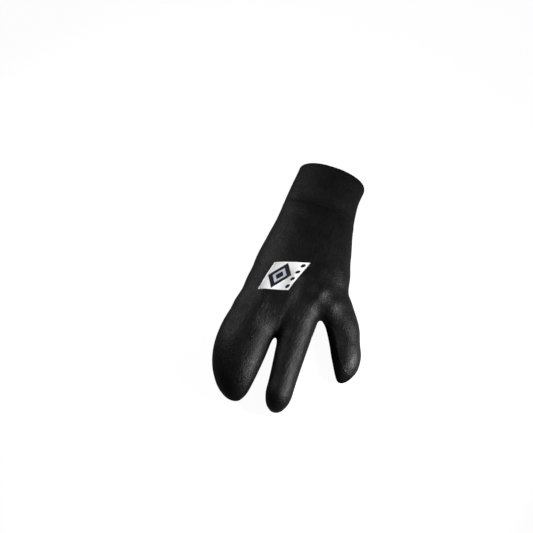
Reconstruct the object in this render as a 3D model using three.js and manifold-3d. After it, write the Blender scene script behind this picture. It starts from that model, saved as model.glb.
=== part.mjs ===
// A right-hand three-finger wetsuit mitt in padded neoprene, lying palm down.
// Millimetres. +Z is up out of the back of the hand, +Y points to the cuff's opening,
// the fingertips point along -Y and the thumb lies on the +X side.
import * as THREE from 'three';
import { mergeVertices } from 'three/addons/utils/BufferGeometryUtils.js';
import Module from 'manifold-3d';

// Driving dimensions
const WALL = 4;
const SEAM_GAP = 0.3;
const CUFF_LENGTH = 57.5;
const RIM_ALONG = 141;
const RIM_SKEW_DEGREES = 3.6;
const PRINT_THICKNESS = 0.5;
const OUTSIDE_CELL = 7;
const INSIDE_CELL = 8;

// The bounding box of the modelled form is brought onto the origin by this shift.
const ORIGIN_SHIFT = { across: 1, along: -3.6 };

// Sections of each limb, in the limb's own plan frame. `along` runs from the wrist towards
// the tip, `across` is the middle of the section, `level` is the height of its widest line,
// `halfWidth` its half width, and `rise` and `sink` reach above and below that line.
// Past the first and last rows a limb ends in a rounded cap. `tipLean` carries the middle of the
// tip's cap sideways and `tipDrop` lowers it, by its end. `web` is the width of the fillet that
// joins the limb to those before it.
const TRUNK = {
  start: { across: 0, along: 160 },
  headingDegrees: 0,
  rootCap: 6,
  tipCap: 21,
  tipLean: 0,
  tipDrop: 0,
  roundness: 2.15,
  rows: [
    { along: 0, across: -15.2, level: 24, halfWidth: 41, rise: 26.5, sink: 24.6 },
    { along: 18, across: -15.9, level: 24, halfWidth: 40.2, rise: 25.5, sink: 24.6 },
    { along: 42, across: -17.7, level: 23.5, halfWidth: 39.9, rise: 24, sink: 24.3 },
    { along: 65, across: -17.5, level: 22.5, halfWidth: 41.5, rise: 23.5, sink: 23.3 },
    { along: 88, across: -15.9, level: 22, halfWidth: 43.8, rise: 25, sink: 22.8 },
    { along: 115, across: -14.3, level: 21.5, halfWidth: 48.2, rise: 27, sink: 22.2 },
    { along: 146, across: -14, level: 21, halfWidth: 52, rise: 26.5, sink: 21 },
    { along: 180, across: -19.5, level: 21, halfWidth: 46, rise: 23, sink: 19.5 },
    { along: 205, across: -24, level: 21, halfWidth: 42, rise: 18, sink: 17 },
  ],
};

const FINGER_POCKET = {
  start: { across: -42, along: -22 },
  headingDegrees: 0,
  rootCap: 26,
  tipCap: 70,
  tipLean: 10,
  tipDrop: 8,
  web: 11,
  roundness: 2.15,
  rows: [
    { along: 0, across: 3, level: 20.5, halfWidth: 25, rise: 20.5, sink: 18 },
    { along: 28, across: -1.2, level: 20, halfWidth: 27.3, rise: 21, sink: 18 },
    { along: 60, across: -4.9, level: 18.5, halfWidth: 28.4, rise: 20.5, sink: 18.3 },
  ],
};

const INDEX_FINGER = {
  start: { across: 2, along: -22 },
  headingDegrees: 3.2,
  rootCap: 20,
  tipCap: 23.5,
  tipLean: 0,
  tipDrop: 3,
  web: 9,
  roundness: 2.1,
  rows: [
    { along: 0, across: -3, level: 21, halfWidth: 18, rise: 17.5, sink: 17 },
    { along: 34, across: -0.6, level: 19.5, halfWidth: 17.4, rise: 17, sink: 16.5 },
    { along: 64, across: -0.8, level: 17.5, halfWidth: 16, rise: 15.5, sink: 15.5 },
    { along: 106, across: -0.9, level: 14.8, halfWidth: 13.8, rise: 14, sink: 14.8 },
  ],
};

const THUMB = {
  start: { across: 24, along: 10 },
  headingDegrees: 23,
  rootCap: 24,
  tipCap: 36,
  tipLean: -8,
  tipDrop: 4,
  web: 13,
  roundness: 2.1,
  rows: [
    { along: 0, across: -5.2, level: 20, halfWidth: 18.8, rise: 19, sink: 18 },
    { along: 30, across: 0.2, level: 18.5, halfWidth: 17.7, rise: 17.5, sink: 17.5 },
    { along: 58, across: 3.6, level: 17, halfWidth: 17.4, rise: 15.5, sink: 17.2 },
    { along: 80, across: 3.4, level: 16, halfWidth: 15.9, rise: 14, sink: 16.3 },
  ],
};

const LIMBS = [TRUNK, FINGER_POCKET, INDEX_FINGER, THUMB];

// Room around the whole mitt that the surfaces are looked for in.
const ROOM = { low: [-100, -190, -12], high: [100, 178, 68] };

// Broad dents and ridges of the limp cloth. A row is a stretch from one plan point to another
// on the back of the mitt: `depth` sinks it (a ridge is negative) and `spread` is its width.
// They fade out down the sides, between two heights over the flat.
const FOLDS_FADE = { from: 18, to: 34 };
const FOLDS = [
  { fromAcross: -34, fromAlong: 97, toAcross: 18, toAlong: 91, spread: 8, depth: 1.2 },
  { fromAcross: -42, fromAlong: 78, toAcross: 12, toAlong: 72, spread: 9, depth: -0.8 },
  { fromAcross: 20, fromAlong: -24, toAcross: 32, toAlong: -28, spread: 14, depth: -7.5 },
  { fromAcross: -13, fromAlong: -18, toAcross: -16, toAlong: -50, spread: 13, depth: 0.9 },
  { fromAcross: -16, fromAlong: -50, toAcross: -17, toAlong: -70, spread: 9, depth: 2 },
];

// Height of the side seam over the flat: level on the hand, climbing across the thumb,
// whose palm side faces the index finger.
const SIDE_SEAM = {
  height: 10,
  thumbRise: 8,
  thumbSlope: 0.75,
  thumbFrom: 40,
  thumbTo: 66,
  webFrom: -32,
  webTo: -22,
};

// Plan lines that the cut along the side seam is made over.
const SEAM_GRID = { fromAcross: 10, toAcross: 88, fromAlong: -122, toAlong: -12, cell: 10, floor: -60 };

// The printed block on the back of the hand, by its corners in plan.
const PRINT_CORNERS = [
  { across: -40.8, along: 0.5 },
  { across: -3.3, along: 9.9 },
  { across: -16, along: -27.7 },
  { across: -47.5, along: -35.7 },
];
const PRINT_STEPS = 8;
const BACK_POINT_ROUNDS = 40;

// How late in a tip's cap its middle bends away.
const TIP_BEND = 3;

// Share of a section's reach within which a point counts as on its middle line.
const NEAR_MIDDLE = 0.05;

// Step of the slopes taken of a distance, and how near two vertices are one.
const SLOPE_STEP = 0.2;
const SAME_VERTEX = 1e-4;
const SETTLE_ROUNDS = 3;

// Value of a column between the rows, as a smooth curve through them.
function columnAt(rows, column, along) {
  const last = rows.length - 1;
  let row = 0;
  while (row < last - 1 && along > rows[row + 1].along) row += 1;
  const before = rows[Math.max(row - 1, 0)];
  const from = rows[row];
  const to = rows[row + 1];
  const after = rows[Math.min(row + 2, last)];
  const length = to.along - from.along;
  const slopeFrom = row > 0 ? (to[column] - before[column]) / (to.along - before.along) : 0;
  const slopeTo = row + 1 < last ? (after[column] - from[column]) / (after.along - from.along) : 0;
  const t = THREE.MathUtils.clamp((along - from.along) / length, 0, 1);
  const t2 = t * t;
  const t3 = t2 * t;
  return (2 * t3 - 3 * t2 + 1) * from[column]
    + (t3 - 2 * t2 + t) * length * slopeFrom
    + (3 * t2 - 2 * t3) * to[column]
    + (t3 - t2) * length * slopeTo;
}

// A plan point in a limb's own frame: how far along it towards the tip, and how far across.
function limbPlace(limb, across, along) {
  const heading = THREE.MathUtils.degToRad(limb.headingDegrees);
  const dx = across - limb.start.across;
  const dy = along - limb.start.along;
  return {
    along: dx * Math.sin(heading) - dy * Math.cos(heading),
    across: dx * Math.cos(heading) + dy * Math.sin(heading),
  };
}

// Distance from a limb's surface, negative inside, good to first order.
function limbDistance(limb, x, y, z) {
  const place = limbPlace(limb, x, y);
  const end = limb.rows[limb.rows.length - 1].along;
  const at = THREE.MathUtils.clamp(place.along, 0, end);
  const share = (Math.max(place.along - end, 0) / limb.tipCap) ** TIP_BEND;
  const middle = columnAt(limb.rows, 'across', at) + limb.tipLean * share;
  const height = z - columnAt(limb.rows, 'level', at) + limb.tipDrop * share;
  const reach = [
    columnAt(limb.rows, 'halfWidth', at),
    columnAt(limb.rows, height > 0 ? 'rise' : 'sink', at),
    place.along < 0 ? limb.rootCap : limb.tipCap,
  ];
  const offset = [place.across - middle, height, place.along - at];
  const power = limb.roundness;
  let sum = 0;
  for (let axis = 0; axis < 3; axis += 1) {
    offset[axis] = Math.abs(offset[axis] / reach[axis]);
    sum += offset[axis] ** power;
  }
  const scale = sum ** (1 / power);
  if (scale < NEAR_MIDDLE) return -Math.min(reach[0], reach[1]);
  let steepness = 0;
  for (let axis = 0; axis < 3; axis += 1) {
    steepness += ((offset[axis] / scale) ** (power - 1) / reach[axis]) ** 2;
  }
  return (scale - 1) / Math.sqrt(steepness);
}

// Union of two distances with a fillet of the given width between them.
function blend(a, b, width) {
  const overlap = Math.max(width - Math.abs(a - b), 0) / width;
  return Math.min(a, b) - (overlap * overlap * width) / 4;
}

// How far the folds push the surface in at a point, on the back of the mitt only.
function foldDepth(x, y, z) {
  let depth = 0;
  for (const fold of FOLDS) {
    const runX = fold.toAcross - fold.fromAcross;
    const runY = fold.toAlong - fold.fromAlong;
    const t = ((x - fold.fromAcross) * runX + (y - fold.fromAlong) * runY) / (runX ** 2 + runY ** 2);
    const nearest = THREE.MathUtils.clamp(t, 0, 1);
    const dx = x - fold.fromAcross - nearest * runX;
    const dy = y - fold.fromAlong - nearest * runY;
    depth += fold.depth * Math.exp(-(dx * dx + dy * dy) / fold.spread ** 2);
  }
  return depth * THREE.MathUtils.smoothstep(z, FOLDS_FADE.from, FOLDS_FADE.to);
}

// Distance from the mitt's outer surface before it is flattened by the floor.
function mittDistance(x, y, z) {
  let distance = Infinity;
  for (const limb of LIMBS) {
    distance = distance === Infinity
      ? limbDistance(limb, x, y, z)
      : blend(distance, limbDistance(limb, x, y, z), limb.web);
  }
  return distance + foldDepth(x, y, z);
}

function slopeOf(field, x, y, z) {
  const step = SLOPE_STEP;
  return [
    (field(x + step, y, z) - field(x - step, y, z)) / (2 * step),
    (field(x, y + step, z) - field(x, y - step, z)) / (2 * step),
    (field(x, y, z + step) - field(x, y, z - step)) / (2 * step),
  ];
}

// Closed mesh of the surface where a field is zero: one vertex in each crossed cell of a grid,
// moved onto the surface, and one quad across each crossed grid edge.
function surfaceMesh(field, cell) {
  const { low, high } = ROOM;
  const count = low.map((value, axis) => Math.ceil((high[axis] - value) / cell) + 1);
  const stride = [1, count[0], count[0] * count[1]];
  const place = (i, j, k) => [low[0] + i * cell, low[1] + j * cell, low[2] + k * cell];
  const values = new Float64Array(count[0] * count[1] * count[2]);
  for (let k = 0; k < count[2]; k += 1) {
    for (let j = 0; j < count[1]; j += 1) {
      for (let i = 0; i < count[0]; i += 1) {
        values[i + j * stride[1] + k * stride[2]] = field(...place(i, j, k));
      }
    }
  }
  const corners = [];
  for (let corner = 0; corner < 8; corner += 1) corners.push([corner & 1, (corner >> 1) & 1, corner >> 2]);
  const vertexOf = new Map();
  const vertices = [];
  for (let k = 0; k < count[2] - 1; k += 1) {
    for (let j = 0; j < count[1] - 1; j += 1) {
      for (let i = 0; i < count[0] - 1; i += 1) {
        const sum = [0, 0, 0];
        let crossings = 0;
        for (let from = 0; from < 8; from += 1) {
          for (const axis of [0, 1, 2]) {
            if (corners[from][axis] === 1) continue;
            const start = corners[from].map((bit, index) => bit + [i, j, k][index]);
            const index = start[0] + start[1] * stride[1] + start[2] * stride[2];
            const a = values[index];
            const b = values[index + stride[axis]];
            if ((a < 0) === (b < 0)) continue;
            const point = place(...start);
            point[axis] += (cell * a) / (a - b);
            point.forEach((value, at) => { sum[at] += value; });
            crossings += 1;
          }
        }
        if (crossings === 0) continue;
        vertexOf.set(i + j * stride[1] + k * stride[2], vertices.length);
        vertices.push(sum.map((value) => value / crossings));
      }
    }
  }
  for (const vertex of vertices) {
    for (let round = 0; round < SETTLE_ROUNDS; round += 1) {
      const distance = field(...vertex);
      const slope = slopeOf(field, ...vertex);
      const size = slope[0] ** 2 + slope[1] ** 2 + slope[2] ** 2;
      const move = THREE.MathUtils.clamp(distance / size, -cell / 4, cell / 4);
      slope.forEach((value, axis) => { vertex[axis] -= value * move; });
    }
  }
  const triangles = [];
  for (let k = 1; k < count[2] - 1; k += 1) {
    for (let j = 1; j < count[1] - 1; j += 1) {
      for (let i = 1; i < count[0] - 1; i += 1) {
        const index = i + j * stride[1] + k * stride[2];
        for (const axis of [0, 1, 2]) {
          const a = values[index];
          const b = values[index + stride[axis]];
          if ((a < 0) === (b < 0)) continue;
          const next = stride[(axis + 1) % 3];
          const far = stride[(axis + 2) % 3];
          const around = [index - next - far, index - far, index, index - next];
          const quad = around.map((cellAt) => vertexOf.get(cellAt));
          if (a > 0) quad.reverse();
          triangles.push(quad[0], quad[1], quad[2], quad[0], quad[2], quad[3]);
        }
      }
    }
  }
  return { vertices: vertices.flat(), triangles };
}

const wasm = await Module();
wasm.setup();

function toManifold({ vertices, triangles }) {
  const geometry = new THREE.BufferGeometry();
  geometry.setAttribute('position', new THREE.Float32BufferAttribute(vertices, 3));
  geometry.setIndex(triangles);
  const merged = mergeVertices(geometry, SAME_VERTEX);
  return new wasm.Manifold(new wasm.Mesh({
    numProp: 3,
    vertProperties: Float32Array.from(merged.attributes.position.array),
    triVerts: Uint32Array.from(merged.index.array),
  }));
}

function fromManifold(solid) {
  const mesh = solid.getMesh();
  return { vertices: Array.from(mesh.vertProperties), triangles: Array.from(mesh.triVerts) };
}

function toGeometry({ vertices, triangles }) {
  const geometry = new THREE.BufferGeometry();
  geometry.setAttribute('position', new THREE.Float32BufferAttribute(vertices, 3));
  geometry.setIndex(triangles);
  geometry.computeVertexNormals();
  return geometry;
}

// Closed block over a grid of plan lines, between a lower and an upper height at each crossing.
function blockMesh(across, along, lower, upper) {
  const vertices = [];
  const triangles = [];
  for (const height of [lower, upper]) {
    for (const y of along) {
      for (const x of across) vertices.push(x, y, height(x, y));
    }
  }
  const wide = across.length;
  const deep = along.length;
  const at = (layer, i, j) => (layer * deep + j) * wide + i;
  const quad = (a, b, c, d) => triangles.push(a, b, c, a, c, d);
  for (let j = 0; j < deep - 1; j += 1) {
    for (let i = 0; i < wide - 1; i += 1) {
      quad(at(1, i, j), at(1, i + 1, j), at(1, i + 1, j + 1), at(1, i, j + 1));
      quad(at(0, i, j), at(0, i, j + 1), at(0, i + 1, j + 1), at(0, i + 1, j));
    }
  }
  for (let i = 0; i < wide - 1; i += 1) {
    quad(at(0, i, 0), at(0, i + 1, 0), at(1, i + 1, 0), at(1, i, 0));
    quad(at(0, i + 1, deep - 1), at(0, i, deep - 1), at(1, i, deep - 1), at(1, i + 1, deep - 1));
  }
  for (let j = 0; j < deep - 1; j += 1) {
    quad(at(0, 0, j + 1), at(0, 0, j), at(1, 0, j), at(1, 0, j + 1));
    quad(at(0, wide - 1, j), at(0, wide - 1, j + 1), at(1, wide - 1, j + 1), at(1, wide - 1, j));
  }
  return { vertices, triangles };
}

// The padded shell: outside less inside, flat on the floor and open at the rim.
function mittShell() {
  const outside = toManifold(surfaceMesh(mittDistance, OUTSIDE_CELL));
  const inside = toManifold(surfaceMesh((x, y, z) => mittDistance(x, y, z) + WALL, INSIDE_CELL));
  return outside.trimByPlane([0, 0, 1], 0).subtract(inside.trimByPlane([0, 0, 1], WALL));
}

function rimNormal() {
  const skew = THREE.MathUtils.degToRad(RIM_SKEW_DEGREES);
  return [Math.sin(skew), Math.cos(skew), 0];
}

// Everything of a solid on the far or near side of a plane parallel to the rim.
function towardsRim(solid, offset) {
  return solid.trimByPlane(rimNormal(), offset);
}

function towardsTips(solid, offset) {
  return solid.trimByPlane(rimNormal().map((value) => -value), -offset);
}

function sideSeamHeight(x, y) {
  const place = limbPlace(THUMB, x, y);
  const share = THREE.MathUtils.smoothstep(place.along, SIDE_SEAM.thumbFrom, SIDE_SEAM.thumbTo)
    * THREE.MathUtils.smoothstep(place.across, SIDE_SEAM.webFrom, SIDE_SEAM.webTo);
  const fromMiddle = place.across - columnAt(THUMB.rows, 'across', place.along);
  const climb = SIDE_SEAM.thumbRise - SIDE_SEAM.thumbSlope * fromMiddle;
  return SIDE_SEAM.height + share * climb;
}

// Everything below the side seam, lifted by a height: a block whose top follows the seam.
// The seam is level away from the thumb, so the block's grid is fine only around the thumb.
function belowSideSeam(lift) {
  const across = [ROOM.low[0], SEAM_GRID.fromAcross];
  const along = [ROOM.low[1], SEAM_GRID.fromAlong];
  while (across.at(-1) < SEAM_GRID.toAcross) across.push(across.at(-1) + SEAM_GRID.cell);
  while (along.at(-1) < SEAM_GRID.toAlong) along.push(along.at(-1) + SEAM_GRID.cell);
  across.push(ROOM.high[0]);
  along.push(ROOM.high[1]);
  return blockMesh(across, along, () => SEAM_GRID.floor, (x, y) => sideSeamHeight(x, y) + lift);
}

function splitAtSideSeam(hand) {
  return {
    back: hand.subtract(toManifold(belowSideSeam(SEAM_GAP / 2))),
    palm: hand.intersect(toManifold(belowSideSeam(-SEAM_GAP / 2))),
  };
}

// Point on the back of the mitt above a plan point, lifted off it by a height.
function backPoint(x, y, lift) {
  let z = ROOM.high[2];
  for (let round = 0; round < BACK_POINT_ROUNDS; round += 1) z -= mittDistance(x, y, z) - lift;
  return [x, y, z];
}

// Thin film that follows the back of the hand over the printed block.
function printFilm() {
  const steps = Array.from({ length: PRINT_STEPS + 1 }, (_, index) => index / PRINT_STEPS);
  const [a, b, c, d] = PRINT_CORNERS;
  const film = blockMesh(steps, steps, () => SEAM_GAP, () => SEAM_GAP + PRINT_THICKNESS);
  for (let index = 0; index < film.vertices.length; index += 3) {
    const [u, v, lift] = film.vertices.slice(index, index + 3);
    const mix = (key) => (d[key] * (1 - u) + c[key] * u) * (1 - v) + (a[key] * (1 - u) + b[key] * u) * v;
    const point = backPoint(mix('across'), mix('along'), lift);
    for (const axis of [0, 1, 2]) film.vertices[index + axis] = point[axis];
  }
  return film;
}

const mitt = new THREE.Group();
mitt.position.set(-ORIGIN_SHIFT.across, -ORIGIN_SHIFT.along, 0);

function addPiece(name, mesh, finish) {
  const piece = new THREE.Mesh(toGeometry(mesh), new THREE.MeshStandardMaterial(finish));
  piece.name = name;
  mitt.add(piece);
}

const shell = towardsTips(mittShell(), RIM_ALONG);
const wristSeam = RIM_ALONG - CUFF_LENGTH;
const cuff = towardsRim(shell, wristSeam + SEAM_GAP / 2);
const hand = splitAtSideSeam(towardsTips(shell, wristSeam - SEAM_GAP / 2));

addPiece('back_panel', fromManifold(hand.back), { color: 0x1b1b1d, roughness: 0.42, metalness: 0 });
addPiece('palm_panel', fromManifold(hand.palm), { color: 0x131314, roughness: 0.85, metalness: 0 });
addPiece('cuff', fromManifold(cuff), { color: 0x1d1d1f, roughness: 0.5, metalness: 0 });
addPiece('printed_patch', printFilm(), { color: 0xb9bcc0, roughness: 0.55, metalness: 0 });

export default mitt;
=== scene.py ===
"""A right-hand lobster wetsuit mitt in padded black neoprene, laid palm down on a pale floor."""

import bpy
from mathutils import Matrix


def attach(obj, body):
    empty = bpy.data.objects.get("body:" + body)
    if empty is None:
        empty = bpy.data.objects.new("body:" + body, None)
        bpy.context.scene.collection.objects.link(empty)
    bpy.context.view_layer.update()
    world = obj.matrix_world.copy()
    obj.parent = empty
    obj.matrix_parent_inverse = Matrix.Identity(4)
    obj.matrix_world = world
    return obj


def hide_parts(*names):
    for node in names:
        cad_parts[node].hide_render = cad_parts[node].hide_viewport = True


bl_info = {
    "name": "Lobster Wetsuit Mitt",
    "version": (1, 0, 0),
    "blender": (4, 5, 0),
    "location": "View3D > Sidebar > Mitt",
    "description": "Builds the panels, the seams, the print and the studio of a three-finger mitt",
    "category": "Add Mesh",
}

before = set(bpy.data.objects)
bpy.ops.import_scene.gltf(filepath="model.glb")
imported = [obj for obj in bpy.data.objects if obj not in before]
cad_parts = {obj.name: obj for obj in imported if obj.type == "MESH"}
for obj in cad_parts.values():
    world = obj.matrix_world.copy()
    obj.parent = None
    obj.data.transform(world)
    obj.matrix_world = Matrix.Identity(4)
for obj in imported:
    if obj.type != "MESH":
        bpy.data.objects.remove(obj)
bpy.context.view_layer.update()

import math
from collections import namedtuple

import bmesh
import bpy
import numpy as np
from mathutils import Vector

BODY = "root"
MM = 0.001

# The limbs of the mitt, in millimetres. A row is a section: how far along the limb it lies,
# the middle's place across and its level over the floor, half its width, and its reach up and down.
Row = namedtuple("Row", "along across level half_width rise sink")
Limb = namedtuple("Limb", "start heading root_cap tip_cap tip_lean tip_drop web roundness rows")

TRUNK = Limb((0, 160), 0, 6, 21, 0, 0, 0, 2.15, (
    Row(0, -15.2, 24, 41, 26.5, 24.6),
    Row(18, -15.9, 24, 40.2, 25.5, 24.6),
    Row(42, -17.7, 23.5, 39.9, 24, 24.3),
    Row(65, -17.5, 22.5, 41.5, 23.5, 23.3),
    Row(88, -15.9, 22, 43.8, 25, 22.8),
    Row(115, -14.3, 21.5, 48.2, 27, 22.2),
    Row(146, -14, 21, 52, 26.5, 21),
    Row(180, -19.5, 21, 46, 23, 19.5),
    Row(205, -24, 21, 42, 18, 17),
))
FINGER_POCKET = Limb((-42, -22), 0, 26, 70, 10, 8, 11, 2.15, (
    Row(0, 3, 20.5, 25, 20.5, 18),
    Row(28, -1.2, 20, 27.3, 21, 18),
    Row(60, -4.9, 18.5, 28.4, 20.5, 18.3),
))
INDEX_FINGER = Limb((2, -22), 3.2, 20, 23.5, 0, 3, 9, 2.1, (
    Row(0, -3, 21, 18, 17.5, 17),
    Row(34, -0.6, 19.5, 17.4, 17, 16.5),
    Row(64, -0.8, 17.5, 16, 15.5, 15.5),
    Row(106, -0.9, 14.8, 13.8, 14, 14.8),
))
THUMB = Limb((24, 10), 23, 24, 36, -8, 4, 13, 2.1, (
    Row(0, -5.2, 20, 18.8, 19, 18),
    Row(30, 0.2, 18.5, 17.7, 17.5, 17.5),
    Row(58, 3.6, 17, 17.4, 15.5, 17.2),
    Row(80, 3.4, 16, 15.9, 14, 16.3),
))
LIMBS = (TRUNK, FINGER_POCKET, INDEX_FINGER, THUMB)
TIP_BEND = 3
NEAR_MIDDLE = 0.05

# Broad dents and ridges of the limp cloth, each along a stretch from one plan point to another.
Fold = namedtuple("Fold", "start end spread depth")
FOLDS = (
    Fold((-34, 97), (18, 91), 8, 1.2),
    Fold((-42, 78), (12, 72), 9, -0.8),
    Fold((20, -24), (32, -28), 14, -7.5),
    Fold((-13, -18), (-16, -50), 13, 0.9),
    Fold((-16, -50), (-17, -70), 9, 2),
)
FOLDS_FADE = (18, 34)

# The cuff's rim and seam, and the seam along the side, in millimetres.
RIM_ALONG = 141
RIM_SKEW = math.radians(3.6)
CUFF_LENGTH = 57.5
SEAM_HEIGHT = 10
THUMB_SEAM_RISE = 8
THUMB_SEAM_SLOPE = 0.75
THUMB_SEAM_START = (40, 66)
THUMB_SEAM_WEB = (-32, -22)

# The design's plan point that stands at the origin, and the room around the mitt.
ORIGIN_SHIFT = np.array((1.0, -3.6, 0.0))
ROOM_LOW = (-84, -164, -3)
ROOM_HIGH = (88, 152, 56)

# Corners of the printed block in plan: cuff side and little finger side first.
PRINT_CORNERS = ((-40.8, 0.5), (-3.3, 9.9), (-16, -27.7), (-47.5, -35.7))


class MittShape(bpy.types.PropertyGroup):
    """Sizes of the neoprene and of its seams."""

    wall: bpy.props.FloatProperty(
        name="Wall", description="Thickness of the neoprene",
        default=0.004, min=0.002, max=0.006, unit="LENGTH")
    cell: bpy.props.FloatProperty(
        name="Mesh Cell", description="Spacing of the fine surface's vertices",
        default=0.0015, min=0.001, max=0.004, unit="LENGTH")
    floor_round: bpy.props.FloatProperty(
        name="Floor Rounding", description="How softly the cloth turns up from the floor",
        default=0.003, min=0.001, max=0.006, unit="LENGTH")
    rim_round: bpy.props.FloatProperty(
        name="Rim Rounding", description="Rounding of the cuff's cut edge",
        default=0.0022, min=0.0005, max=0.003, unit="LENGTH")
    groove: bpy.props.FloatProperty(
        name="Seam Groove", description="Depth of the glued joint between two panels",
        default=0.0005, min=0.0, max=0.001, unit="LENGTH")
    puff: bpy.props.FloatProperty(
        name="Seam Puff", description="How far the neoprene stands up beside a joint",
        default=0.00028, min=0.0, max=0.001, unit="LENGTH")
    sag: bpy.props.FloatProperty(
        name="Unevenness", description="Depth of the soft hollows of the limp cloth",
        default=0.0005, min=0.0, max=0.002, unit="LENGTH")


class MittFinish(bpy.types.PropertyGroup):
    """Colours and gloss of the mitt's surfaces."""

    skin: bpy.props.FloatVectorProperty(
        name="Smooth Skin", description="Colour of the smooth rubber skin",
        default=(0.0028, 0.0024, 0.0028), size=3, subtype="COLOR", min=0.0, max=1.0)
    skin_roughness: bpy.props.FloatProperty(
        name="Skin Roughness", description="How dull the smooth skin is",
        default=0.45, min=0.0, max=1.0, subtype="FACTOR")
    grip: bpy.props.FloatVectorProperty(
        name="Grip Skin", description="Colour of the matte palm",
        default=(0.0022, 0.0022, 0.0024), size=3, subtype="COLOR", min=0.0, max=1.0)
    grip_roughness: bpy.props.FloatProperty(
        name="Grip Roughness", description="How dull the palm is",
        default=0.78, min=0.0, max=1.0, subtype="FACTOR")
    lining: bpy.props.FloatVectorProperty(
        name="Lining", description="Colour of the jersey inside",
        default=(0.016, 0.016, 0.018), size=3, subtype="COLOR", min=0.0, max=1.0)
    silver: bpy.props.FloatVectorProperty(
        name="Print Light", description="Light colour of the print",
        default=(0.96, 0.965, 0.975), size=3, subtype="COLOR", min=0.0, max=1.0)
    ink: bpy.props.FloatVectorProperty(
        name="Print Dark", description="Dark colour of the print",
        default=(0.012, 0.012, 0.014), size=3, subtype="COLOR", min=0.0, max=1.0)


class MittStage(bpy.types.PropertyGroup):
    """Floor, lights and camera."""

    camera_turn: bpy.props.FloatProperty(
        name="Camera Turn", description="How far round to the thumb's side the camera stands",
        default=math.radians(18.3), subtype="ANGLE")
    camera_rise: bpy.props.FloatProperty(
        name="Camera Rise", description="How steeply the camera looks down",
        default=math.radians(58), subtype="ANGLE")
    camera_distance: bpy.props.FloatProperty(
        name="Camera Distance", description="From the camera to the point it looks at",
        default=1.1, min=0.3, unit="LENGTH")
    camera_target: bpy.props.FloatVectorProperty(
        name="Camera Target", description="Point at the middle of the picture",
        default=(-0.052, 0.0076, 0.025), size=3, subtype="XYZ", unit="LENGTH")
    camera_lens: bpy.props.FloatProperty(
        name="Camera Lens", description="Focal length in millimetres", default=67.8, min=20.0)
    floor_colour: bpy.props.FloatVectorProperty(
        name="Floor", description="Colour of the pale floor",
        default=(0.96, 0.96, 0.965), size=3, subtype="COLOR", min=0.0, max=1.0)
    floor_bounce: bpy.props.FloatProperty(
        name="Floor Bounce", description="Share of its light that the floor gives the mitt",
        default=0.14, min=0.0, max=1.0)
    room_light: bpy.props.FloatProperty(
        name="Room Light", description="Strength of the faint light from all round",
        default=0.1, min=0.0, max=2.0)


def smooth_column(rows, name, along):
    """A column of a limb's table at places between its rows, as a smooth curve through them."""
    at = np.array([row.along for row in rows], float)
    value = np.array([getattr(row, name) for row in rows], float)
    slope = np.zeros(len(at))
    slope[1:-1] = (value[2:] - value[:-2]) / (at[2:] - at[:-2])
    row = np.clip(np.searchsorted(at, along, side="right") - 1, 0, len(at) - 2)
    length = at[row + 1] - at[row]
    t = np.clip((along - at[row]) / length, 0, 1)
    return (
        (2 * t**3 - 3 * t**2 + 1) * value[row]
        + (t**3 - 2 * t**2 + t) * length * slope[row]
        + (3 * t**2 - 2 * t**3) * value[row + 1]
        + (t**3 - t**2) * length * slope[row + 1]
    )


def smooth_step(value, low, high):
    """Zero below low, one above high and a smooth climb between."""
    t = np.clip((value - low) / (high - low), 0, 1)
    return t * t * (3 - 2 * t)


def limb_place(limb, x, y):
    """Plan points in a limb's own frame: along it towards the tip, and across it."""
    heading = math.radians(limb.heading)
    dx, dy = x - limb.start[0], y - limb.start[1]
    along = dx * math.sin(heading) - dy * math.cos(heading)
    return along, dx * math.cos(heading) + dy * math.sin(heading)


def limb_distance(limb, points):
    """Distance of points from a limb's surface, negative inside, good to first order."""
    along, across = limb_place(limb, points[:, 0], points[:, 1])
    end = limb.rows[-1].along
    at = np.clip(along, 0, end)
    bend = (np.maximum(along - end, 0) / limb.tip_cap) ** TIP_BEND
    middle = smooth_column(limb.rows, "across", at) + limb.tip_lean * bend
    height = points[:, 2] - smooth_column(limb.rows, "level", at) + limb.tip_drop * bend
    rise = smooth_column(limb.rows, "rise", at)
    sink = smooth_column(limb.rows, "sink", at)
    offset = np.stack((across - middle, height, along - at))
    reach = np.stack((
        smooth_column(limb.rows, "half_width", at),
        np.where(height > 0, rise, sink),
        np.where(along < 0, limb.root_cap, limb.tip_cap),
    ))
    share = np.abs(offset / reach)
    scale = (share**limb.roundness).sum(0) ** (1 / limb.roundness)
    safe = np.maximum(scale, NEAR_MIDDLE)
    steepness = np.sqrt((((share / safe) ** (limb.roundness - 1) / reach) ** 2).sum(0))
    distance = (scale - 1) / np.maximum(steepness, 1e-6)
    return np.where(scale < NEAR_MIDDLE, -np.minimum(reach[0], reach[1]), distance)


def blend(a, b, width):
    """Union of two distances with a fillet of a width between them."""
    overlap = np.maximum(width - np.abs(a - b), 0) / width
    return np.minimum(a, b) - overlap**2 * width / 4


def trim(a, b, width):
    """What two distances share, with their edge rounded by a width."""
    return -blend(-a, -b, width)


def stretch_distance(x, y, start, end):
    """Distance in plan from the stretch between two points."""
    run = np.array(end, float) - np.array(start, float)
    t = np.clip(((x - start[0]) * run[0] + (y - start[1]) * run[1]) / (run @ run), 0, 1)
    return np.hypot(x - start[0] - t * run[0], y - start[1] - t * run[1])


def mitt_distance(points):
    """Distance from the mitt's outer surface before the floor flattens it."""
    distance = limb_distance(TRUNK, points)
    for limb in LIMBS[1:]:
        distance = blend(distance, limb_distance(limb, points), limb.web)
    x, y, z = points.T
    depth = sum(
        fold.depth * np.exp(-(stretch_distance(x, y, fold.start, fold.end) / fold.spread) ** 2)
        for fold in FOLDS
    )
    return distance + depth * smooth_step(z, *FOLDS_FADE)


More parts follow.
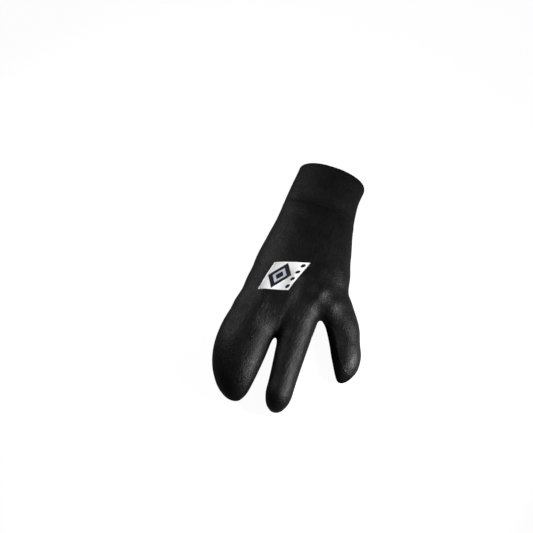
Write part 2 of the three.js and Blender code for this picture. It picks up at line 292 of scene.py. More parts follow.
def from_rim(points):
    """Distance past the plane of the cuff's rim, negative on the side of the hand."""
    return points[:, 0] * math.sin(RIM_SKEW) + points[:, 1] * math.cos(RIM_SKEW) - RIM_ALONG


def side_seam_height(x, y):
    """Height of the side seam: level on the hand, climbing across the thumb to the index finger."""
    along, across = limb_place(THUMB, x, y)
    share = smooth_step(along, *THUMB_SEAM_START) * smooth_step(across, *THUMB_SEAM_WEB)
    middle = smooth_column(THUMB.rows, "across", along)
    return SEAM_HEIGHT + share * (THUMB_SEAM_RISE - THUMB_SEAM_SLOPE * (across - middle))


def slopes(field, points, step=0.1):
    """Gradient of a field at points."""
    out = np.empty_like(points)
    for axis in range(3):
        shift = np.zeros(3)
        shift[axis] = step
        out[:, axis] = (field(points + shift) - field(points - shift)) / (2 * step)
    return out


def settle(field, points, rounds, reach):
    """Moves points onto the surface where a field is zero."""
    for _ in range(rounds):
        slope = slopes(field, points)
        size = np.maximum((slope**2).sum(1), 0.05)
        points = points - slope * np.clip(field(points) / size, -reach, reach)[:, None]
    return points


def surface_nets(field, low, high, cell):
    """Closed mesh of quads where a field is zero, one vertex in each cell that it crosses."""
    lines = [np.arange(a, b + cell, cell) for a, b in zip(low, high)]
    grid = np.stack(np.meshgrid(*lines, indexing="ij"), -1)
    count = np.array(grid.shape[:3])
    values = field(grid.reshape(-1, 3)).reshape(count)
    total = np.zeros(tuple(count - 1) + (3,))
    crossings = np.zeros(count - 1)
    edges = []
    for axis in range(3):
        first = [slice(None)] * 3
        second = [slice(None)] * 3
        first[axis], second[axis] = slice(0, -1), slice(1, None)
        a, b = values[tuple(first)], values[tuple(second)]
        crossed = (a < 0) != (b < 0)
        share = np.where(crossed, a / np.where(a == b, 1, a - b), 0)
        point = grid[tuple(first)].copy()
        point[..., axis] += share * cell
        edges.append((crossed, a > 0))
        u, v = (axis + 1) % 3, (axis + 2) % 3
        for du in (0, 1):
            for dv in (0, 1):
                part = [slice(None)] * 3
                part[u] = slice(du, du + count[u] - 1)
                part[v] = slice(dv, dv + count[v] - 1)
                hit = crossed[tuple(part)]
                total += np.where(hit[..., None], point[tuple(part)], 0)
                crossings += hit
    used = crossings > 0
    number = np.full(used.shape, -1)
    number[used] = np.arange(used.sum())
    vertices = total[used] / crossings[used][:, None]
    quads = []
    for axis, (crossed, outside_first) in enumerate(edges):
        u, v = (axis + 1) % 3, (axis + 2) % 3
        place = np.argwhere(crossed)
        inner = (place[:, u] > 0) & (place[:, v] > 0)
        inner &= (place[:, u] < count[u] - 1) & (place[:, v] < count[v] - 1)
        place = place[inner]
        flip = outside_first[tuple(place.T)]
        corners = []
        for du, dv in ((1, 1), (0, 1), (0, 0), (1, 0)):
            at = place.copy()
            at[:, u] -= du
            at[:, v] -= dv
            corners.append(number[tuple(at.T)])
        quad = np.stack(corners, 1)
        quad[flip] = quad[flip][:, ::-1]
        quads.append(quad)
    return vertices, np.concatenate(quads)


def outer_field(shape):
    """Distance from the mitt as it rests: the limbs, flattened softly by the floor."""
    width = shape.floor_round / MM
    return lambda points: trim(mitt_distance(points), -points[:, 2], width)


def shell_field(shape):
    """Distance from the padded wall, with a rounded edge at the rim."""
    outer = outer_field(shape)
    half = shape.wall / MM / 2
    rim = shape.rim_round / MM * 2
    return lambda points: trim(np.abs(outer(points) + half) - half, from_rim(points), rim)


# Shallow swells and hollows of the limp cloth on the back, besides the folds above: each along
# a stretch in plan, how wide it is and how far it stands up. They fade in between two heights.
Swell = namedtuple("Swell", "start end spread lift")
SWELLS = (
    Swell((-13, -12), (-17, -66), 9, 3.8),
    Swell((8, -8), (20, -16), 9, 2.6),
    Swell((27, -21), (40, -34), 9, -2.0),
    Swell((39, -4), (47, -24), 9, -2.8),
    Swell((-40, -38), (-42, -66), 8, 1.0),
    Swell((-56, -34), (-62, -80), 10, -1.8),
    Swell((-41, -42), (-37, -50), 5, 0.9),
    Swell((44, -48), (54, -84), 8, -1.6),
)
SWELLS_FADE = (14, 24)

# Layers of the soft unevenness: share, stretch along the axes, size in millimetres and seed.
Layer = namedtuple("Layer", "share stretch size seed")
UNEVENNESS = (
    Layer(1, (1, 0.45, 1), 18, 1),
    Layer(0.4, (1, 0.6, 1), 9, 2),
)
UNEVENNESS_FADE = (20, 32)
NOISE_SIDE = 32

# Loops cut beside each seam so that its groove keeps a crisp section, in millimetres from it.
SEAM_LOOPS = (-2.6, -1.5, -0.9, -0.45, 0, 0.45, 0.9, 1.5, 2.6)
GROOVE_HALF = 0.42
PUFF_AT = 1.35
PUFF_HALF = 0.8

# The stitched line on the cuff beside the wrist seam, and the soft step down on the back.
STITCH_OFFSET = 4.8
STITCH_SINK = 0.22
STITCH_HALF = 0.8
STITCH_PITCH = 3.2
STITCH_RAISE = 0.3
CUFF_MIDDLE = (-17.0, 24.0)
CUFF_RADIUS = 35.0
WRIST_STEP = 0.5
WRIST_STEP_START = (-1, 3)
WRIST_STEP_END = (3, 14)
WRIST_STEP_FADE = (24, 40)
SEAM_SOFT_HEIGHTS = (18, 34)
SEAM_SOFTENING = 0.75

# Sewn darts and creases on the palm side, each along a stretch in plan.
PALM_LINES = (
    ((-16, -44), (-50, -6)),
    ((27, -31), (43, -17)),
    ((24, -25), (39, -9)),
)
PALM_LINE_SINK = 0.5
PALM_LINE_HALF = 0.9


def seam_profile(shape, distance):
    """Relief of a glued joint: a fine groove between two soft swellings."""
    groove = shape.groove / MM * np.exp(-((distance / GROOVE_HALF) ** 2))
    puff = shape.puff / MM * np.exp(-(((np.abs(distance) - PUFF_AT) / PUFF_HALF) ** 2))
    return puff - groove


def cut_loops(mesh, normal, offset):
    """Cuts the faces that a plane crosses, so that an edge runs along it."""
    faces = []
    for face in mesh.faces:
        side = [vertex.co.dot(normal) - offset for vertex in face.verts]
        if min(side) < 0 < max(side):
            faces.append(face)
    parts = set(faces)
    for face in faces:
        parts.update(face.verts)
        parts.update(face.edges)
    bmesh.ops.bisect_plane(
        mesh, geom=list(parts), dist=1e-5, plane_co=normal * offset, plane_no=normal)


def soft_noise(points, size, seed):
    """Smooth noise from -1 to 1 over points, with features of a size in millimetres."""
    values = np.random.default_rng(seed).uniform(-1, 1, (NOISE_SIDE,) * 3)
    place = points / size
    corner = np.floor(place).astype(int)
    t = place - corner
    t = t * t * (3 - 2 * t)
    total = 0
    for step in np.ndindex(2, 2, 2):
        weight = np.where(step, t, 1 - t).prod(1)
        total = total + weight * values[tuple(((corner + step) % NOISE_SIDE).T)]
    return total


def relief(shape, points):
    """How far the outer surface stands out from its smooth form, in millimetres."""
    x, y, z = points.T
    side = z - side_seam_height(x, y)
    wrist = from_rim(points) + CUFF_LENGTH
    off_cuff = smooth_step(-wrist, -0.5, 0.5)
    out = seam_profile(shape, side) * off_cuff
    crisp = 1 - SEAM_SOFTENING * smooth_step(z, *SEAM_SOFT_HEIGHTS)
    out += seam_profile(shape, wrist) * crisp
    out -= STITCH_SINK * np.exp(-(((wrist - STITCH_OFFSET) / STITCH_HALF) ** 2)) * crisp
    step = smooth_step(wrist, *WRIST_STEP_START) * (1 - smooth_step(wrist, *WRIST_STEP_END))
    out -= WRIST_STEP * step * smooth_step(z, *WRIST_STEP_FADE)
    under = smooth_step(-side, 1, 3)
    for line in PALM_LINES:
        near = np.exp(-((stretch_distance(x, y, *line) / PALM_LINE_HALF) ** 2))
        out -= PALM_LINE_SINK * near * under
    for item in SWELLS:
        near = np.exp(-((stretch_distance(x, y, item.start, item.end) / item.spread) ** 2))
        out += item.lift * near * smooth_step(z, *SWELLS_FADE)
    uneven = sum(
        item.share * soft_noise(points * item.stretch, item.size, item.seed) for item in UNEVENNESS)
    out += shape.sag / MM * uneven * smooth_step(z, *UNEVENNESS_FADE)
    return out


def shell_mesh(shape):
    """The whole wall as vertices and faces, cut along the seams."""
    cell = shape.cell / MM
    field = shell_field(shape)
    vertices, quads = surface_nets(field, ROOM_LOW, ROOM_HIGH, cell)
    vertices = settle(field, vertices, 3, cell / 4)
    mesh = bmesh.new()
    made = [mesh.verts.new(vertex) for vertex in vertices]
    for quad in quads:
        mesh.faces.new([made[corner] for corner in quad])
    rim_normal = Vector((math.sin(RIM_SKEW), math.cos(RIM_SKEW), 0))
    for loop in SEAM_LOOPS:
        cut_loops(mesh, rim_normal, RIM_ALONG - CUFF_LENGTH + loop)

    def straighten(sign):
        places = np.array([vertex.co for vertex in mesh.verts])
        heights = side_seam_height(places[:, 0], places[:, 1])
        for vertex, height in zip(mesh.verts, heights):
            vertex.co.z += sign * height

    straighten(-1)
    for loop in SEAM_LOOPS:
        cut_loops(mesh, Vector((0, 0, 1)), loop)
    straighten(1)
    mesh.verts.index_update()
    points = np.array([vertex.co for vertex in mesh.verts])
    faces = [[vertex.index for vertex in face.verts] for face in mesh.faces]
    mesh.free()
    return points, faces


def wall_depth(shape, points):
    """Depth of points under the outer surface, in millimetres."""
    return -outer_field(shape)(points)


def new_object(name, vertices, faces, materials, face_materials=None, normals=None):
    """A smooth mesh object from millimetre vertices in the design's own frame."""
    data = bpy.data.meshes.new(name)
    placed = (np.asarray(vertices, float) - ORIGIN_SHIFT) * MM
    data.from_pydata(placed.tolist(), [], [list(face) for face in faces])
    for material in materials:
        data.materials.append(material)
    data.polygons.foreach_set("use_smooth", [True] * len(data.polygons))
    if face_materials is not None:
        data.polygons.foreach_set("material_index", list(face_materials))
    data.update()
    if normals is not None:
        data.normals_split_custom_set_from_vertices([tuple(normal) for normal in normals])
    piece = bpy.data.objects.new(name, data)
    bpy.context.scene.collection.objects.link(piece)
    return piece


def finish_piece(piece, slot, *nodes):
    """Rides a piece on the body and hides the nodes that it stands for; its slot is not used."""
    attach(piece, BODY)
    if nodes:
        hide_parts(*nodes)


def node_group(name, inputs, outputs):
    """A new shader node group with its sockets, and its input and output nodes."""
    group = bpy.data.node_groups.new(name, "ShaderNodeTree")
    for socket, kind, default in inputs:
        made = group.interface.new_socket(name=socket, in_out="INPUT", socket_type=kind)
        if default is not None:
            made.default_value = default
    for socket, kind in outputs:
        group.interface.new_socket(name=socket, in_out="OUTPUT", socket_type=kind)
    start = group.nodes.new("NodeGroupInput")
    end = group.nodes.new("NodeGroupOutput")
    return group, start, end


def link(tree, source, target):
    """Links a socket of a node tree to another."""
    tree.links.new(source, target)


def math_node(tree, operation, a, b=None, clamp=False):
    """A maths node whose inputs are sockets or numbers, and its output."""
    node = tree.nodes.new("ShaderNodeMath")
    node.operation = operation
    node.use_clamp = clamp
    for index, value in enumerate((a, b)):
        if value is None:
            continue
        if isinstance(value, (int, float)):
            node.inputs[index].default_value = value
        else:
            link(tree, value, node.inputs[index])
    return node.outputs[0]


def ranged(tree, value, low, high, to_low=0.0, to_high=1.0):
    """A socket's value mapped from one range to another, held within it."""
    node = tree.nodes.new("ShaderNodeMapRange")
    node.inputs["From Min"].default_value = low
    node.inputs["From Max"].default_value = high
    node.inputs["To Min"].default_value = to_low
    node.inputs["To Max"].default_value = to_high
    link(tree, value, node.inputs["Value"])
    return node.outputs["Result"]


def noise_node(tree, vector, scale, detail, roughness=0.5):
    """Procedural noise over a vector, and its value."""
    node = tree.nodes.new("ShaderNodeTexNoise")
    node.inputs["Scale"].default_value = scale
    node.inputs["Detail"].default_value = detail
    node.inputs["Roughness"].default_value = roughness
    link(tree, vector, node.inputs["Vector"])
    return node.outputs["Fac"]


def scaled(tree, vector, factors):
    """A vector stretched along the axes."""
    node = tree.nodes.new("ShaderNodeVectorMath")
    node.operation = "MULTIPLY"
    link(tree, vector, node.inputs[0])
    node.inputs[1].default_value = factors
    return node.outputs[0]


def voronoi_node(tree, vector, scale):
    """Distance to the nearest border between random cells."""
    node = tree.nodes.new("ShaderNodeTexVoronoi")
    node.feature = "DISTANCE_TO_EDGE"
    node.inputs["Scale"].default_value = scale
    link(tree, vector, node.inputs["Vector"])
    return node.outputs["Distance"]


# Noises of the skin grain, by how many features they have in a metre.
PEBBLE_SCALE = 700
PEBBLE_SHARE = 0.3
FINE_SCALE = 600
STREAK_SCALE = 480
STREAK_STRETCH = (1.0, 0.24, 0.8)
STREAK_PATCH_SCALE = 34
CLOUD_SCALE = 38
CLOUD_SHARE = 0.4
DUST_SCALE = 1400
DUST_PATCH_SCALE = 26


def skin_grain_group():
    """Fine leathery grain of neoprene: pebbles, wrinkles along the hand and cloudy dullness."""
    group, start, end = node_group(
        "Skin Grain",
        (("Vector", "NodeSocketVector", None), ("Wrinkles", "NodeSocketFloat", 0.5),
         ("Pebbles", "NodeSocketFloat", 0.5)),
        (("Height", "NodeSocketFloat"), ("Dullness", "NodeSocketFloat"),
         ("Dust", "NodeSocketFloat")),
    )
    vector = start.outputs["Vector"]
    pebble = ranged(group, voronoi_node(group, vector, PEBBLE_SCALE), 0.0, 0.4)
    fine = noise_node(group, vector, FINE_SCALE, 3, 0.6)
    grain = math_node(group, "ADD", math_node(group, "MULTIPLY", pebble, PEBBLE_SHARE), fine)
    pebbles = math_node(group, "MULTIPLY", grain, start.outputs["Pebbles"])
    streak = noise_node(group, scaled(group, vector, STREAK_STRETCH), STREAK_SCALE, 3, 0.6)
    where = ranged(group, noise_node(group, vector, STREAK_PATCH_SCALE, 2), 0.4, 0.6, 0.25, 1.0)
    ridge = math_node(group, "MULTIPLY", streak, where)
    wrinkles = math_node(group, "MULTIPLY", ridge, start.outputs["Wrinkles"])
    link(group, math_node(group, "ADD", pebbles, wrinkles), end.inputs["Height"])
    cloud = noise_node(group, vector, CLOUD_SCALE, 4, 0.6)
    clouded = math_node(group, "MULTIPLY", cloud, CLOUD_SHARE)
    streaked = math_node(group, "MULTIPLY", streak, 1 - CLOUD_SHARE)
    dull = math_node(group, "ADD", clouded, streaked)
    link(group, ranged(group, dull, 0.35, 0.65), end.inputs["Dullness"])
    dust = ranged(group, noise_node(group, vector, DUST_SCALE, 1), 0.68, 0.74)
    patch = ranged(group, noise_node(group, vector, DUST_PATCH_SCALE, 3), 0.5, 0.7)
    link(group, math_node(group, "MULTIPLY", dust, patch), end.inputs["Dust"])
    return group


def jersey_group():
    """Fine knitted jersey: rows of small loops, with painted shade in the hollows between them and
    random tone.
    """
    group, start, end = node_group(
        "Jersey Knit",
        (("Vector", "NodeSocketVector", None), ("Gauge", "NodeSocketFloat", 1200.0)),
        (("Height", "NodeSocketFloat"), ("Shade", "NodeSocketFloat")),
    )
    parts = group.nodes.new("ShaderNodeSeparateXYZ")
    link(group, start.outputs["Vector"], parts.inputs[0])
    x, y, z = (parts.outputs[name] for name in "XYZ")
    gauge = start.outputs["Gauge"]
    across = math_node(group, "ADD", x, math_node(group, "MULTIPLY", z, 0.8))
    wale = math_node(group, "SINE", math_node(group, "MULTIPLY", across, gauge))
    bow = math_node(group, "ABSOLUTE", wale)
    along = math_node(group, "ADD", y, math_node(group, "MULTIPLY", z, 0.3))
    row = math_node(group, "MULTIPLY", along, gauge)
    lean = math_node(group, "MULTIPLY", bow, 0.9)
    course = math_node(group, "SINE", math_node(group, "ADD", row, lean))
    loops = math_node(group, "MULTIPLY", math_node(group, "ADD", bow, course), 0.5)
    link(group, loops, end.inputs["Height"])
    uneven = noise_node(group, start.outputs["Vector"], 90, 3)
    # Painted shade: the colour darkens where the loops lie low, and the noise adds random tone.
    shade = math_node(group, "ADD", math_node(group, "MULTIPLY", loops, 0.35), uneven)
    link(group, ranged(group, shade, 0.2, 1.0), end.inputs["Shade"])
    return group


def placed_group(tree, name):
    """An instance of a node group fed with the surface's own place."""
    node = tree.nodes.new("ShaderNodeGroup")
    node.node_tree = bpy.data.node_groups[name]
    place = tree.nodes.new("ShaderNodeTexCoord")
    link(tree, place.outputs["Object"], node.inputs["Vector"])
    return node


RUBBER_IOR = 1.3
MATTE_IOR = 1.14


def new_material(name, colour, roughness, ior=RUBBER_IOR):
    """A material with a Principled surface, and its tree and shader."""
    material = bpy.data.materials.new(name)
    material.use_nodes = True
    shader = material.node_tree.nodes["Principled BSDF"]
    shader.inputs["Base Color"].default_value = (*colour, 1)
    shader.inputs["Roughness"].default_value = roughness
    shader.inputs["IOR"].default_value = ior
    return material, material.node_tree, shader


def colour_mix(tree, share, a, b):
    """A mix of two colours by a share."""
    node = tree.nodes.new("ShaderNodeMix")
    node.data_type = "RGBA"
    for socket, value in (("A", a), ("B", b)):
        target = next(s for s in node.inputs if s.name == socket and s.type == "RGBA")
        if isinstance(value, bpy.types.NodeSocket):
            link(tree, value, target)
        else:
            target.default_value = (*value, 1)
    link(tree, share, node.inputs["Factor"])
    return next(s for s in node.outputs if s.type == "RGBA")


def bump(tree, shader, height, strength, distance):
    """Bends a shader's normal by a height."""
    node = tree.nodes.new("ShaderNodeBump")
    node.inputs["Strength"].default_value = strength
    node.inputs["Distance"].default_value = distance
    link(tree, height, node.inputs["Height"])
    link(tree, node.outputs["Normal"], shader.inputs["Normal"])


def from_middle(tree, value, middle, reach=1.0):
    """How far a value is from a middle, as a share of a reach."""
    away = math_node(tree, "ABSOLUTE", math_node(tree, "SUBTRACT", value, middle))
    return math_node(tree, "DIVIDE", away, reach)


def stitch_mask(tree):
    """One on each stitch of the row that runs round the cuff beside its seam."""
    place = tree.nodes.new("ShaderNodeTexCoord")
    parts = tree.nodes.new("ShaderNodeSeparateXYZ")
    link(tree, place.outputs["Object"], parts.inputs[0])
    x, y, z = (parts.outputs[name] for name in "XYZ")
    right, ahead = math.sin(RIM_SKEW), math.cos(RIM_SKEW)
    line = RIM_ALONG - CUFF_LENGTH + STITCH_OFFSET
    line -= right * ORIGIN_SHIFT[0] + ahead * ORIGIN_SHIFT[1]
    along = math_node(
        tree, "ADD", math_node(tree, "MULTIPLY", x, right), math_node(tree, "MULTIPLY", y, ahead))
    off_line = from_middle(tree, along, float(line * MM))
    on_line = ranged(tree, off_line, 0.3 * MM, 0.7 * MM, 1, 0)
    angle = math_node(
        tree, "ARCTAN2", math_node(tree, "SUBTRACT", z, CUFF_MIDDLE[1] * MM),
        math_node(tree, "SUBTRACT", x, float((CUFF_MIDDLE[0] - ORIGIN_SHIFT[0]) * MM)))
    count = math_node(tree, "MULTIPLY", angle, CUFF_RADIUS / STITCH_PITCH)
    off_stitch = from_middle(tree, math_node(tree, "FRACT", count), 0.5)
    return math_node(tree, "MULTIPLY", on_line, ranged(tree, off_stitch, 0.28, 0.4, 1, 0))


# How far the gloss of the skin swings, how much duller it is edge on, and its tones.
GLOSS_SWING = 0.12
EDGE_DULLNESS = 0.35
DULL_TONE = 1.5
DUST_TONE = 5
DUST_LIGHT = 0.02


def skin_material(
        name, colour, roughness, wrinkles, pebbles, relief_height, ior=RUBBER_IOR, sewn=False):
    """Rubber skin with a fine grain, cloudy gloss and a little dust."""
    material, tree, shader = new_material(name, colour, roughness, ior)
    grain = placed_group(tree, "Skin Grain")
    grain.inputs["Wrinkles"].default_value = wrinkles
    grain.inputs["Pebbles"].default_value = pebbles
    height = grain.outputs["Height"]
    if sewn:
        raised = math_node(tree, "MULTIPLY", stitch_mask(tree), STITCH_RAISE / relief_height)
        height = math_node(tree, "ADD", height, raised)
    bump(tree, shader, height, 1.0, relief_height * MM)
    dullness = grain.outputs["Dullness"]
    gloss = ranged(tree, dullness, 0, 1, roughness - GLOSS_SWING, roughness + GLOSS_SWING)
    facing = tree.nodes.new("ShaderNodeLayerWeight")
    edge = ranged(tree, facing.outputs["Facing"], 0.5, 0.95, 0, EDGE_DULLNESS)
    link(tree, math_node(tree, "ADD", gloss, edge, clamp=True), shader.inputs["Roughness"])
    pale = tuple(min(1.0, channel * DUST_TONE + DUST_LIGHT) for channel in colour)
    tone = tuple(channel * DULL_TONE for channel in colour)
    base = colour_mix(tree, dullness, colour, tone)
    link(tree, colour_mix(tree, grain.outputs["Dust"], base, pale), shader.inputs["Base Color"])
    return material


JERSEY_GAUGE = 4200
JERSEY_SHADE = 0.45


def lining_material(finish):
    """Black nylon jersey inside the mitt."""
    material, tree, shader = new_material("Jersey Lining", finish.lining, 0.9)
    knit = placed_group(tree, "Jersey Knit")
    knit.inputs["Gauge"].default_value = JERSEY_GAUGE
    bump(tree, shader, knit.outputs["Height"], 0.6, 0.3 * MM)
    dark = tuple(channel * JERSEY_SHADE for channel in finish.lining)
    # The knit's shade darkens the lining between its loops: painted shade, with random tone.
    shade = colour_mix(tree, knit.outputs["Shade"], dark, finish.lining)
    link(tree, shade, shader.inputs["Base Color"])
    shader.inputs["Sheen Weight"].default_value = 0.25
    shader.inputs["Sheen Roughness"].default_value = 0.5
    return material


# The print's motif in shares of the block: two nested lozenges, and a column of dots beside them.
LOZENGE_AT = (0.4, 0.5)
LOZENGE_REACH = (0.35, 0.46)
LOZENGE_RING = (0.6, 1.0)
LOZENGE_HEART = 0.34
DOTS_AT = 0.87
DOTS = 4
DOT_RADIUS = 0.065
SILVER_TINT = (0.5, 0.53, 0.62)
PRINT_WEAR = 0.35
WORN_TONE = 0.7

# The film of the print: cells along each side, and how high its two faces lie over the skin.
PRINT_CELLS = 48
PRINT_FACES = (0.04, 0.3)
PRINT_FROM_HEIGHT = 60.0
PRINT_ROUNDS = 40


def print_material(finish):
    """Silver screen print with nested dark lozenges and a column of dots."""
    material, tree, shader = new_material("Silver Print", finish.silver, 0.5)
    place = tree.nodes.new("ShaderNodeUVMap")
    parts = tree.nodes.new("ShaderNodeSeparateXYZ")
    link(tree, place.outputs["UV"], parts.inputs[0])
    u, v = parts.outputs["X"], parts.outputs["Y"]
    lozenge = math_node(
        tree, "ADD", from_middle(tree, u, LOZENGE_AT[0], LOZENGE_REACH[0]),
        from_middle(tree, v, LOZENGE_AT[1], LOZENGE_REACH[1]))
    outer = math_node(tree, "LESS_THAN", lozenge, LOZENGE_RING[1])
    hollow = math_node(tree, "GREATER_THAN", lozenge, LOZENGE_RING[0])
    ring = math_node(tree, "MULTIPLY", outer, hollow)
    heart = math_node(tree, "LESS_THAN", lozenge, LOZENGE_HEART)
    row = math_node(tree, "FRACT", math_node(tree, "MULTIPLY", v, float(DOTS)))
    across = math_node(tree, "POWER", from_middle(tree, u, DOTS_AT, DOT_RADIUS), 2.0)
    along = math_node(tree, "POWER", from_middle(tree, row, 0.5, DOT_RADIUS * DOTS), 2.0)
    dots = math_node(tree, "LESS_THAN", math_node(tree, "ADD", across, along), 1.0)
    ink = math_node(tree, "MAXIMUM", math_node(tree, "MAXIMUM", ring, heart), dots)
    grain = placed_group(tree, "Skin Grain")
    worn = math_node(tree, "MULTIPLY", grain.outputs["Dullness"], PRINT_WEAR)
    greyed = tuple(channel * WORN_TONE for channel in finish.silver)
    light = colour_mix(tree, worn, finish.silver, greyed)
    silver = tuple(channel * share for channel, share in zip(finish.silver, SILVER_TINT))
    light = colour_mix(tree, outer, light, silver)
    link(tree, colour_mix(tree, ink, light, finish.ink), shader.inputs["Base Color"])
    bump(tree, shader, grain.outputs["Height"], 0.5, 0.1 * MM)
    return material


# Shares of the wall's depth that count as its outer side and as skin, and where the relief ends.
OUTER_DEPTH = 0.4
SKIN_DEPTH = 0.55
RELIEF_FROM_RIM = (0.2, 3)


class MITT_OT_panels(bpy.types.Operator):
    """Builds the back panel, the palm panel and the cuff from one padded wall"""

    bl_idname = "mitt.panels"
    bl_label = "Panels and Cuff"

    def execute(self, context):
        shape, finish = context.scene.mitt_shape, context.scene.mitt_finish
        skin_grain_group()
        jersey_group()
        skin = skin_material(
            "Smooth Skin", finish.skin, finish.skin_roughness,
            wrinkles=1.0, pebbles=0.7, relief_height=0.6)
        cuff_skin = skin_material(
            "Cuff Skin", finish.skin, finish.skin_roughness + 0.06,
            wrinkles=0.4, pebbles=0.9, relief_height=0.6, sewn=True)
        grip = skin_material(
            "Grip Skin", finish.grip, finish.grip_roughness,
            wrinkles=0.1, pebbles=1.0, relief_height=0.2, ior=MATTE_IOR)
        lining = lining_material(finish)
        points, faces = shell_mesh(shape)
        wall = shape.wall / MM
        outside = wall_depth(shape, points) < wall * OUTER_DEPTH
        field = outer_field(shape)
        slope = slopes(field, points)
        slope /= np.linalg.norm(slope, axis=1)[:, None]
        off_rim = smooth_step(-from_rim(points), *RELIEF_FROM_RIM)
        moved = points + slope * (relief(shape, points) * outside * off_rim)[:, None]
        moved[:, 2] = np.maximum(moved[:, 2], 0)
        whole = bpy.data.meshes.new("whole")
        whole.from_pydata(moved.tolist(), [], faces)
        normals = np.empty(len(moved) * 3, np.float32)
        whole.vertex_normals.foreach_get("vector", normals)
        normals = normals.reshape(-1, 3)
        bpy.data.meshes.remove(whole)
        middles = np.array([points[face].mean(0) for face in faces])
        on_cuff = from_rim(middles) + CUFF_LENGTH > 0
        over_seam = middles[:, 2] > side_seam_height(middles[:, 0], middles[:, 1])
        shown = wall_depth(shape, middles) < wall * SKIN_DEPTH
        panels = (
            ("back_panel_skin", "back_panel", "smooth_skin", skin, ~on_cuff & over_seam),
            ("palm_panel_skin", "palm_panel", "grip_skin", grip, ~on_cuff & ~over_seam),
            ("cuff_skin", "cuff", "cuff_skin", cuff_skin, on_cuff),
        )
        for name, node, slot, material, chosen in panels:
            picked = np.flatnonzero(chosen)
            kept = [faces[index] for index in picked]
            used = np.unique(np.concatenate(kept))
            number = np.full(len(moved), -1)
            number[used] = np.arange(len(used))
            piece = new_object(
                name, moved[used], [number[face].tolist() for face in kept], (material, lining),
                np.where(shown[picked], 0, 1), normals[used])
            finish_piece(piece, slot, node)
        return {"FINISHED"}


class MITT_OT_print(bpy.types.Operator):
    """Lays the printed block over the back of the hand"""

    bl_idname = "mitt.print"
    bl_label = "Print"

    def execute(self, context):
        shape, finish = context.scene.mitt_shape, context.scene.mitt_finish
        field = outer_field(shape)
        steps = PRINT_CELLS
        share = np.linspace(0, 1, steps + 1)
        v, u = np.meshgrid(share, share, indexing="ij")
        u, v = u.ravel(), v.ravel()
        a, b, c, d = (np.array(corner, float) for corner in PRINT_CORNERS)
        upper = a * (1 - u)[:, None] + b * u[:, None]
        lower = d * (1 - u)[:, None] + c * u[:, None]
        plan = upper * (1 - v)[:, None] + lower * v[:, None]
        height = np.full(len(plan), PRINT_FROM_HEIGHT)
        for _ in range(PRINT_ROUNDS):
            height -= field(np.column_stack((plan, height)))
        points = np.column_stack((plan, height))
        slope = slopes(field, points)
        slope /= np.linalg.norm(slope, axis=1)[:, None]
        rise = relief(shape, points)
        vertices = np.concatenate(
            [points + slope * (rise + lift)[:, None] for lift in PRINT_FACES])
        layer = len(points)
        side = steps + 1
        faces = []
        for j in range(steps):
            for i in range(steps):
                ring = (j * side + i, (j + 1) * side + i, (j + 1) * side + i + 1, j * side + i + 1)
                faces.append([layer + corner for corner in ring])
                faces.append(list(reversed(ring)))
        loop = [i for i in range(steps)]
        loop += [j * side + steps for j in range(steps)]
        loop += [steps * side + i for i in range(steps, 0, -1)]
        loop += [j * side for j in range(steps, 0, -1)]
        for this, following in zip(loop, loop[1:] + loop[:1]):
            faces.append([this, following, layer + following, layer + this])
        piece = new_object("printed_block", vertices, faces, (print_material(finish),))
        layer_uv = piece.data.uv_layers.new(name="UVMap")
        flat = np.column_stack((np.tile(u, 2), np.tile(v, 2)))
        corners = np.array([item.vertex_index for item in piece.data.loops])
        layer_uv.data.foreach_set("uv", flat[corners].ravel())
        finish_piece(piece, "silver_print", "printed_patch")
        return {"FINISHED"}


def floor_material(stage):
    """Pale floor that the camera sees evenly lit and that throws little light back on the mitt."""
    dim = tuple(channel * stage.floor_bounce for channel in stage.floor_colour)
    material, tree, shader = new_material("Pale Floor", dim, 0.9)
    shader.inputs["Specular IOR Level"].default_value = 0.0
    ray = tree.nodes.new("ShaderNodeLightPath")
    glow = colour_mix(tree, ray.outputs["Is Camera Ray"], dim, stage.floor_colour)
    link(tree, glow, shader.inputs["Emission Color"])
    shader.inputs["Emission Strength"].default_value = 1.0
    return material


# Half the side of the floor, in metres, so that its far edge stays out of the picture.
FLOOR_HALF = 40.0

# Softboxes of the studio: where each stands, where it points, its size and its power in watts.
Softbox = namedtuple("Softbox", "name place target width height power")
SOFTBOXES = (
    Softbox("key_softbox", (0.215, -0.058, 0.145), (0.01, -0.02, 0.03), 0.12, 0.08, 1.5),
    Softbox("left_softbox", (-0.36, 0.16, 0.235), (-0.03, -0.02, 0.03), 0.12, 0.12, 0.68),
)


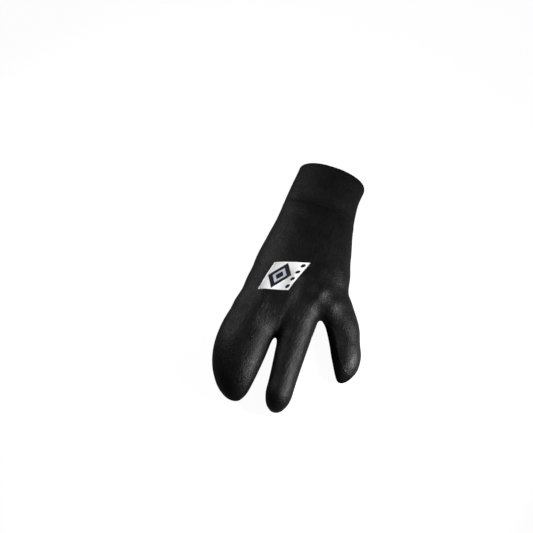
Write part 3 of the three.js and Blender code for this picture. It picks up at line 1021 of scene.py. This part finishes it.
class MITT_OT_stage(bpy.types.Operator):
    """Sets up the pale floor, the softboxes and the camera"""

    bl_idname = "mitt.stage"
    bl_label = "Stage"

    def execute(self, context):
        stage = context.scene.mitt_stage
        floor = bpy.data.meshes.new("floor")
        corners = [(x * FLOOR_HALF, y * FLOOR_HALF, 0) for x, y in ((-1, -1), (1, -1), (1, 1), (-1, 1))]
        floor.from_pydata(corners, [], [(0, 1, 2, 3)])
        floor.materials.append(floor_material(stage))
        floor = bpy.data.objects.new("floor", floor)
        context.scene.collection.objects.link(floor)
        for box in SOFTBOXES:
            light = bpy.data.lights.new(box.name, "AREA")
            light.shape = "RECTANGLE"
            light.size, light.size_y = box.width, box.height
            light.energy = box.power
            lamp = bpy.data.objects.new(box.name, light)
            lamp.location = box.place
            lamp.visible_camera = False
            aim = Vector(box.target) - Vector(box.place)
            lamp.rotation_euler = aim.to_track_quat("-Z", "Y").to_euler()
            context.scene.collection.objects.link(lamp)
        # The camera sees a pale room, but only a faint light falls from it on the mitt.
        world = bpy.data.worlds.new("Studio")
        world.use_nodes = True
        room = world.node_tree
        ray = room.nodes.new("ShaderNodeLightPath")
        dim = (stage.room_light,) * 3
        seen = colour_mix(room, ray.outputs["Is Camera Ray"], dim, stage.floor_colour)
        link(room, seen, room.nodes["Background"].inputs["Color"])
        context.scene.world = world
        context.scene.view_settings.view_transform = "Standard"
        turn, rise = stage.camera_turn, stage.camera_rise
        level = math.cos(rise)
        back = Vector((math.sin(turn) * level, -math.cos(turn) * level, math.sin(rise)))
        data = bpy.data.cameras.new("camera")
        data.lens = stage.camera_lens
        camera = bpy.data.objects.new("camera", data)
        camera.location = Vector(stage.camera_target) + back * stage.camera_distance
        camera.rotation_euler = (-back).to_track_quat("-Z", "Y").to_euler()
        context.scene.collection.objects.link(camera)
        context.scene.camera = camera
        return {"FINISHED"}


class MITT_PT_sidebar(bpy.types.Panel):
    """Lists the mitt's pieces and settings in the sidebar"""

    bl_idname = "MITT_PT_sidebar"
    bl_label = "Lobster Wetsuit Mitt"
    bl_space_type = "VIEW_3D"
    bl_region_type = "UI"
    bl_category = "Mitt"

    def draw(self, context):
        for name, group in SETTINGS:
            box = self.layout.box()
            for field in group.__annotations__:
                box.prop(getattr(context.scene, name), field)
        for operator in PIECES:
            self.layout.operator(operator.bl_idname)


PIECES = (MITT_OT_panels, MITT_OT_print, MITT_OT_stage)
SETTINGS = (("mitt_shape", MittShape), ("mitt_finish", MittFinish), ("mitt_stage", MittStage))


def register():
    """Registers the settings, the operators and the panel."""
    for name, group in SETTINGS:
        bpy.utils.register_class(group)
        setattr(bpy.types.Scene, name, bpy.props.PointerProperty(type=group))
    for operator in PIECES:
        bpy.utils.register_class(operator)
    bpy.utils.register_class(MITT_PT_sidebar)


def unregister():
    """Takes them all off again."""
    bpy.utils.unregister_class(MITT_PT_sidebar)
    for operator in reversed(PIECES):
        bpy.utils.unregister_class(operator)
    for name, group in reversed(SETTINGS):
        delattr(bpy.types.Scene, name)
        bpy.utils.unregister_class(group)


def main():
    """Builds the mitt and its stage."""
    register()
    bpy.ops.mitt.panels()
    bpy.ops.mitt.print()
    bpy.ops.mitt.stage()


if __name__ == "__main__":
    main()
